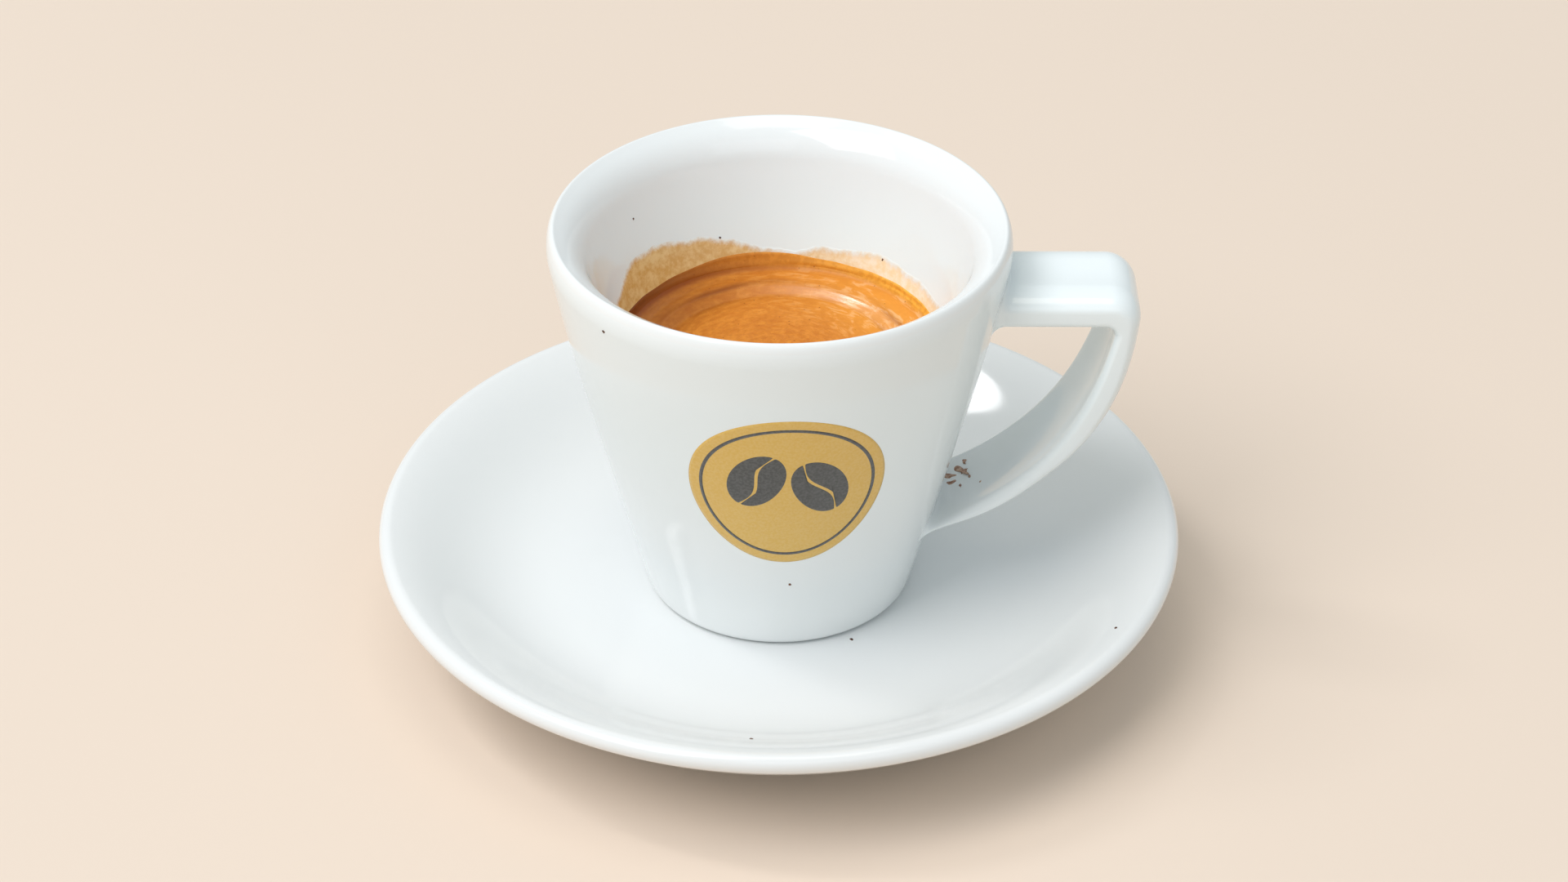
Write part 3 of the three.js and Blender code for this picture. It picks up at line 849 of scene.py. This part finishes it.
def crema_foam():
    """Crema: a dense fine foam, orange-tan, mottled along its swirl, wet where it climbs the wall, with
    painted light, shade and reflections.
    """
    material, tree, shader = new_material("espresso crema foam")
    place = add_node(tree, "TexCoord").outputs["Object"]
    # Mottles about 2 mm across, stretched along the swirl, browner and yellower.
    swirl = add_node(tree, "TexNoise", {"Vector": polar_place(tree, 3.2, 0.9), "Scale": 1.0, "Detail": 5.0,
                                        "Roughness": 0.6, "Distortion": 0.7}).outputs["Fac"]
    tone = mixed(tree, ramp(tree, swirl, 0.3, 0.7), linear("#c67524"), linear("#d98a30"))
    # Finer mottles of 0.9 mm break them up.
    mottle = noise(tree, 0.9, 4.0, 0.65)
    tone = mixed(tree, times(tree, ramp(tree, mottle, 0.56, 0.4), 0.3), tone, linear("#b76818"))
    # Towards the handle the foam is painted paler and yellower: painted light, where the light falls on it.
    tone = mixed(tree, times(tree, attribute(tree, "lit"), 0.6), tone, linear("#f0a53f"))
    # Pale painted reflections run as streaks along the swirl there.
    painted_streaks = times(tree, ramp(tree, swirl, 0.5, 0.64), attribute(tree, "lit"))
    tone = mixed(tree, times(tree, painted_streaks, 0.42), tone, linear("#fbd3a2"))
    # The film on the wall is browner; painted shade darkens it most on the side away from the handle, and
    # painted light makes it paler towards the handle.
    wall = mixed(tree, attribute(tree, "painted_shade"), linear("#da8d36"), linear("#743608"))
    wall = mixed(tree, attribute(tree, "lit"), wall, linear("#f5b546"))
    wall = mixed(tree, times(tree, ramp(tree, mottle, 0.58, 0.42), 0.25), wall, linear("#a85c14"))
    tone = mixed(tree, times(tree, attribute(tree, "film"), 0.95), tone, wall)
    # Away from the handle the slope is browner too: painted shade.
    tone = mixed(tree, times(tree, attribute(tree, "painted_slope_shade"), 0.42), tone, linear("#7c3d0c"))
    # The crease at the film's foot is darker brown, partly the crema's own dark ring and partly painted
    # shade, strongest on the side away from the handle; the line round the level is darker brown.
    tone = mixed(tree, times(tree, attribute(tree, "crease"), 0.85), tone, linear("#8f450a"))
    tone = mixed(tree, times(tree, attribute(tree, "step"), 0.85), tone, linear("#86420c"))
    # Single dark bubbles of 0.2 mm, in one foam cell out of ten.
    cells = add_node(tree, "TexVoronoi", {"Vector": place, "Scale": 1 / (0.75 * MM)})
    dot = ramp(tree, cells.outputs["Distance"], 0.2, 0.1)
    chosen = add_node(tree, "SeparateColor", {"Color": cells.outputs["Color"]}).outputs[0]
    dot = times(tree, times(tree, dot, ramp(tree, chosen, 0.86, 0.9)), 0.6)
    tone = mixed(tree, dot, tone, linear("#7a3808"))
    tree.links.new(tone, shader.inputs["Base Color"])
    # Foam cells of 0.3 mm roughen the surface, and the swirl leaves low ridges.
    ridges = add_node(tree, "Bump", {"Height": swirl, "Strength": 0.4, "Distance": 0.05 * MM})
    bump = add_node(tree, "Bump", {
        "Height": noise(tree, 0.3, 2.0), "Normal": ridges.outputs["Normal"],
        "Strength": 0.3, "Distance": 0.015 * MM})
    tree.links.new(bump.outputs["Normal"], shader.inputs["Normal"])
    # The level foam is nearly matt, and the step and slope round it are wet.
    gloss = add_node(tree, "MapRange", {"Value": attribute(tree, "wet"), "To Min": 0.12, "To Max": 1.0})
    tree.links.new(gloss.outputs["Result"], shader.inputs["Specular IOR Level"])
    matt = add_node(tree, "MapRange", {"Value": attribute(tree, "wet"), "To Min": 0.42, "To Max": 0.2})
    tree.links.new(matt.outputs["Result"], shader.inputs["Roughness"])
    shader.inputs["IOR"].default_value = 1.6
    return material


def dried_coffee():
    """Dried coffee on china: a thin mottled tan film, slightly glossy, that thins to white at its edge."""
    material, tree, shader = new_material("dried coffee film")
    # Blots of 1.5 mm, with finer and finer ones in them.
    blots = noise(tree, 1.5, 5.0, 0.7)
    brown = mixed(tree, ramp(tree, blots, 0.35, 0.65), linear("#e6c88b"), linear("#d5a963"))
    pale = mixed(tree, ramp(tree, blots, 0.35, 0.65), linear("#fdf3df"), linear("#f8e3b8"))
    # Painted light makes the film palest towards the handle, where the light falls on the bore.
    tone = mixed(tree, attribute(tree, "lit"), brown, pale)
    # It is a little darker just below its top edge, where it wears through in spots and fades out.
    edge = attribute(tree, "below_edge")
    uneven = add_node(tree, "Math", {0: edge, 1: times(tree, blots, 1.6)}, operation="ADD").outputs[0]
    rim = times(tree, ramp(tree, uneven, 2.3, 1.3), 0.22)
    tone = mixed(tree, rim, tone, linear("#cf9a5c"))
    tone = mixed(tree, ramp(tree, uneven, 2.1, 0.75), tone, linear(BORE_WHITE))
    tree.links.new(tone, shader.inputs["Base Color"])
    shader.inputs["Roughness"].default_value = 0.18
    shader.inputs["IOR"].default_value = 1.5
    return material


def coffee_grounds():
    """Specks of ground coffee: dark brown and matt, mottled in grains of 0.4 mm."""
    material, tree, shader = new_material("coffee grounds")
    tone = mixed(tree, ramp(tree, noise(tree, 0.4, 2.0), 0.4, 0.6), linear("#4a2a17"), linear("#7d4f33"))
    tree.links.new(tone, shader.inputs["Base Color"])
    shader.inputs["Roughness"].default_value = 0.5
    return material


def dried_splash():
    """Dried splashes of coffee: a thin brown film, darkest in spots of 0.6 mm."""
    material, tree, shader = new_material("dried coffee splash")
    tone = mixed(tree, ramp(tree, noise(tree, 0.6, 3.0), 0.35, 0.65), linear("#c6a68e"), linear("#8c5d42"))
    tree.links.new(tone, shader.inputs["Base Color"])
    shader.inputs["Roughness"].default_value = 0.3
    return material


def glazed_print(name, colour):
    """Print under the glaze: one flat colour with a fine grain, as glossy as the china round it."""
    material, tree, shader = new_material(name)
    # The grain of 0.4 mm is up to a tenth of the way nearer to white.
    grain = ramp(tree, noise(tree, 0.4, 3.0), 0.3, 0.7)
    tone = mixed(tree, grain, linear(colour), linear(lighter(colour, 0.1)))
    tree.links.new(tone, shader.inputs["Base Color"])
    shader.inputs["Roughness"].default_value = 0.12
    shader.inputs["IOR"].default_value = 1.5
    return material


def pale_floor():
    """A plain sheet of matt card: pale warm beige, without a grain that shows."""
    material, tree, shader = new_material("pale matt card")
    # Its beige drifts by less than one part in a hundred over a quarter of a metre.
    tone = add_node(tree, "ValToRGB", {"Fac": noise(tree, 250, 1.0)},
                    [(0.3, linear("#e5d4c3")), (0.7, linear("#e7d6c5"))])
    tree.links.new(tone.outputs["Color"], shader.inputs["Base Color"])
    shader.inputs["Roughness"].default_value = 0.8
    return material


def add_area_light(name, place, aim, size, power, colour):
    """A rectangular soft light at a place, turned towards a point."""
    light = bpy.data.lights.new(name, "AREA")
    light.shape = "RECTANGLE"
    light.size, light.size_y = size
    light.energy = power
    light.color = linear(colour)[:3]
    lamp = bpy.data.objects.new(name, light)
    lamp.location = place
    lamp.rotation_euler = (Vector(aim) - Vector(place)).to_track_quat("-Z", "Y").to_euler()
    bpy.context.scene.collection.objects.link(lamp)


def build_stage():
    """Pale floor, soft box and window on the left, weak lamps overhead and in front, and an even surround."""
    corners = FLOOR_HALF * np.array([(-1.0, -1, 0), (1, -1, 0), (1, 1, 0), (-1, 1, 0)])
    floor = add_mesh("floor", corners, [(0, 1, 2, 3)], pale_floor())
    middle = Vector((0, 0, LAMPS_AIM_Z))
    for name, (turn, rise, width, height, power, colour) in LAMPS.items():
        turn, rise = math.radians(turn), math.radians(rise)
        way = Vector((math.cos(turn) * math.cos(rise), math.sin(turn) * math.cos(rise), math.sin(rise)))
        add_area_light(name, middle + LAMPS_AWAY * way, middle, (width, height), power, colour)
    world = bpy.data.worlds.new("pale surround")
    world.use_nodes = True
    background = world.node_tree.nodes["Background"]
    background.inputs["Color"].default_value = linear(SURROUND_COLOUR)
    background.inputs["Strength"].default_value = SURROUND
    bpy.context.scene.world = world
    bpy.context.scene.view_settings.view_transform = "Standard"


def build_camera():
    """The photograph's view: from the side with the badge, 34 degrees down."""
    place = Vector(CAMERA_PLACE) * MM
    ahead = Vector(CAMERA_AHEAD).normalized()
    side = ahead.cross(Vector((0, 0, 1))).normalized()
    camera = bpy.data.objects.new("camera", bpy.data.cameras.new("camera"))
    camera.data.lens = CAMERA_LENS
    camera.data.sensor_width = CAMERA_SENSOR
    level = Matrix((side, side.cross(ahead), -ahead)).transposed().to_4x4()
    roll = Matrix.Rotation(math.radians(CAMERA_ROLL), 4, "Z")
    camera.matrix_world = Matrix.Translation(place) @ level @ roll
    bpy.context.scene.collection.objects.link(camera)
    bpy.context.scene.camera = camera


def painted_cool_tint(points):
    """How much painted cool tint the cup's glaze gets against warm bounced light: S-curves of height, one for
    the bore and one for the outer wall.
    """
    radius, z = np.hypot(points[:, 0], points[:, 1]), points[:, 2]
    in_bore = radius < bore_radius(z) + 0.3
    on_wall = radius - wall_radius(z) > -0.5
    high = smooth_step(z, *COOL_WALL) * (1 - 0.5 * smooth_step(z, *COOL_LIP))
    return np.where(in_bore, 1 - smooth_step(z, *COOL_BORE), COOL_OUTSIDE * on_wall * high)


def build_china():
    """The cup with its strap, and the saucer, each in its own glaze."""
    points, faces = joined([cup_body(), strap()])
    glaze = glazed_porcelain("glazed porcelain cup", CHINA_WHITE, BORE_WHITE)
    cup = add_attributes(add_mesh("cup", points, faces, glaze), {"cool": painted_cool_tint(points)})
    dress(cup, "cup")
    glaze = glazed_porcelain("glazed porcelain saucer", SAUCER_WHITE)
    saucer = dress(add_mesh("saucer", *saucer_body(), glaze), "saucer")
    return cup, saucer


def build_drink():
    """The drink with its crema, and the film that dried on the wall above it."""
    points, faces, masks = crema_body()
    dress(add_attributes(add_mesh("espresso", points, faces, crema_foam()), masks), "espresso")
    points, faces, masks = stain_body()
    dress(add_attributes(add_mesh("stain", points, faces, dried_coffee()), masks))


def build_specks(cup, saucer):
    """Loose grounds on the china, and the splashes by the handle's lower root."""
    grains = grounds_on(cup, GROUNDS_ON_CUP) + grounds_on(saucer, GROUNDS_ON_SAUCER)
    dress(add_mesh("grounds", *joined(grains), coffee_grounds()))
    dress(add_mesh("splashes", *joined(splashes_on(cup)), dried_splash()))


def build_badge():
    """A mustard disc printed on the cup's front, and on it a dark ring and two coffee beans."""
    angle = np.arange(BADGE_TURNS) * FULL_TURN / BADGE_TURNS
    disc = print_skin(BADGE_R * np.stack([np.cos(angle), np.sin(angle)], -1), BADGE_STANDS)
    dress(add_mesh("badge", *disc, glazed_print("mustard print", MUSTARD)))
    marks = [ring_skin(RING_OUT, RING_IN, MARKS_STAND)]
    for bean in BEANS:
        marks += [print_skin(half, MARKS_STAND) for half in bean_halves(*bean)]
    dress(add_mesh("badge_marks", *joined(marks), glazed_print("dark print", PRINT_DARK)))


build_camera()
build_stage()
china = build_china()
build_drink()
build_specks(*china)
build_badge()
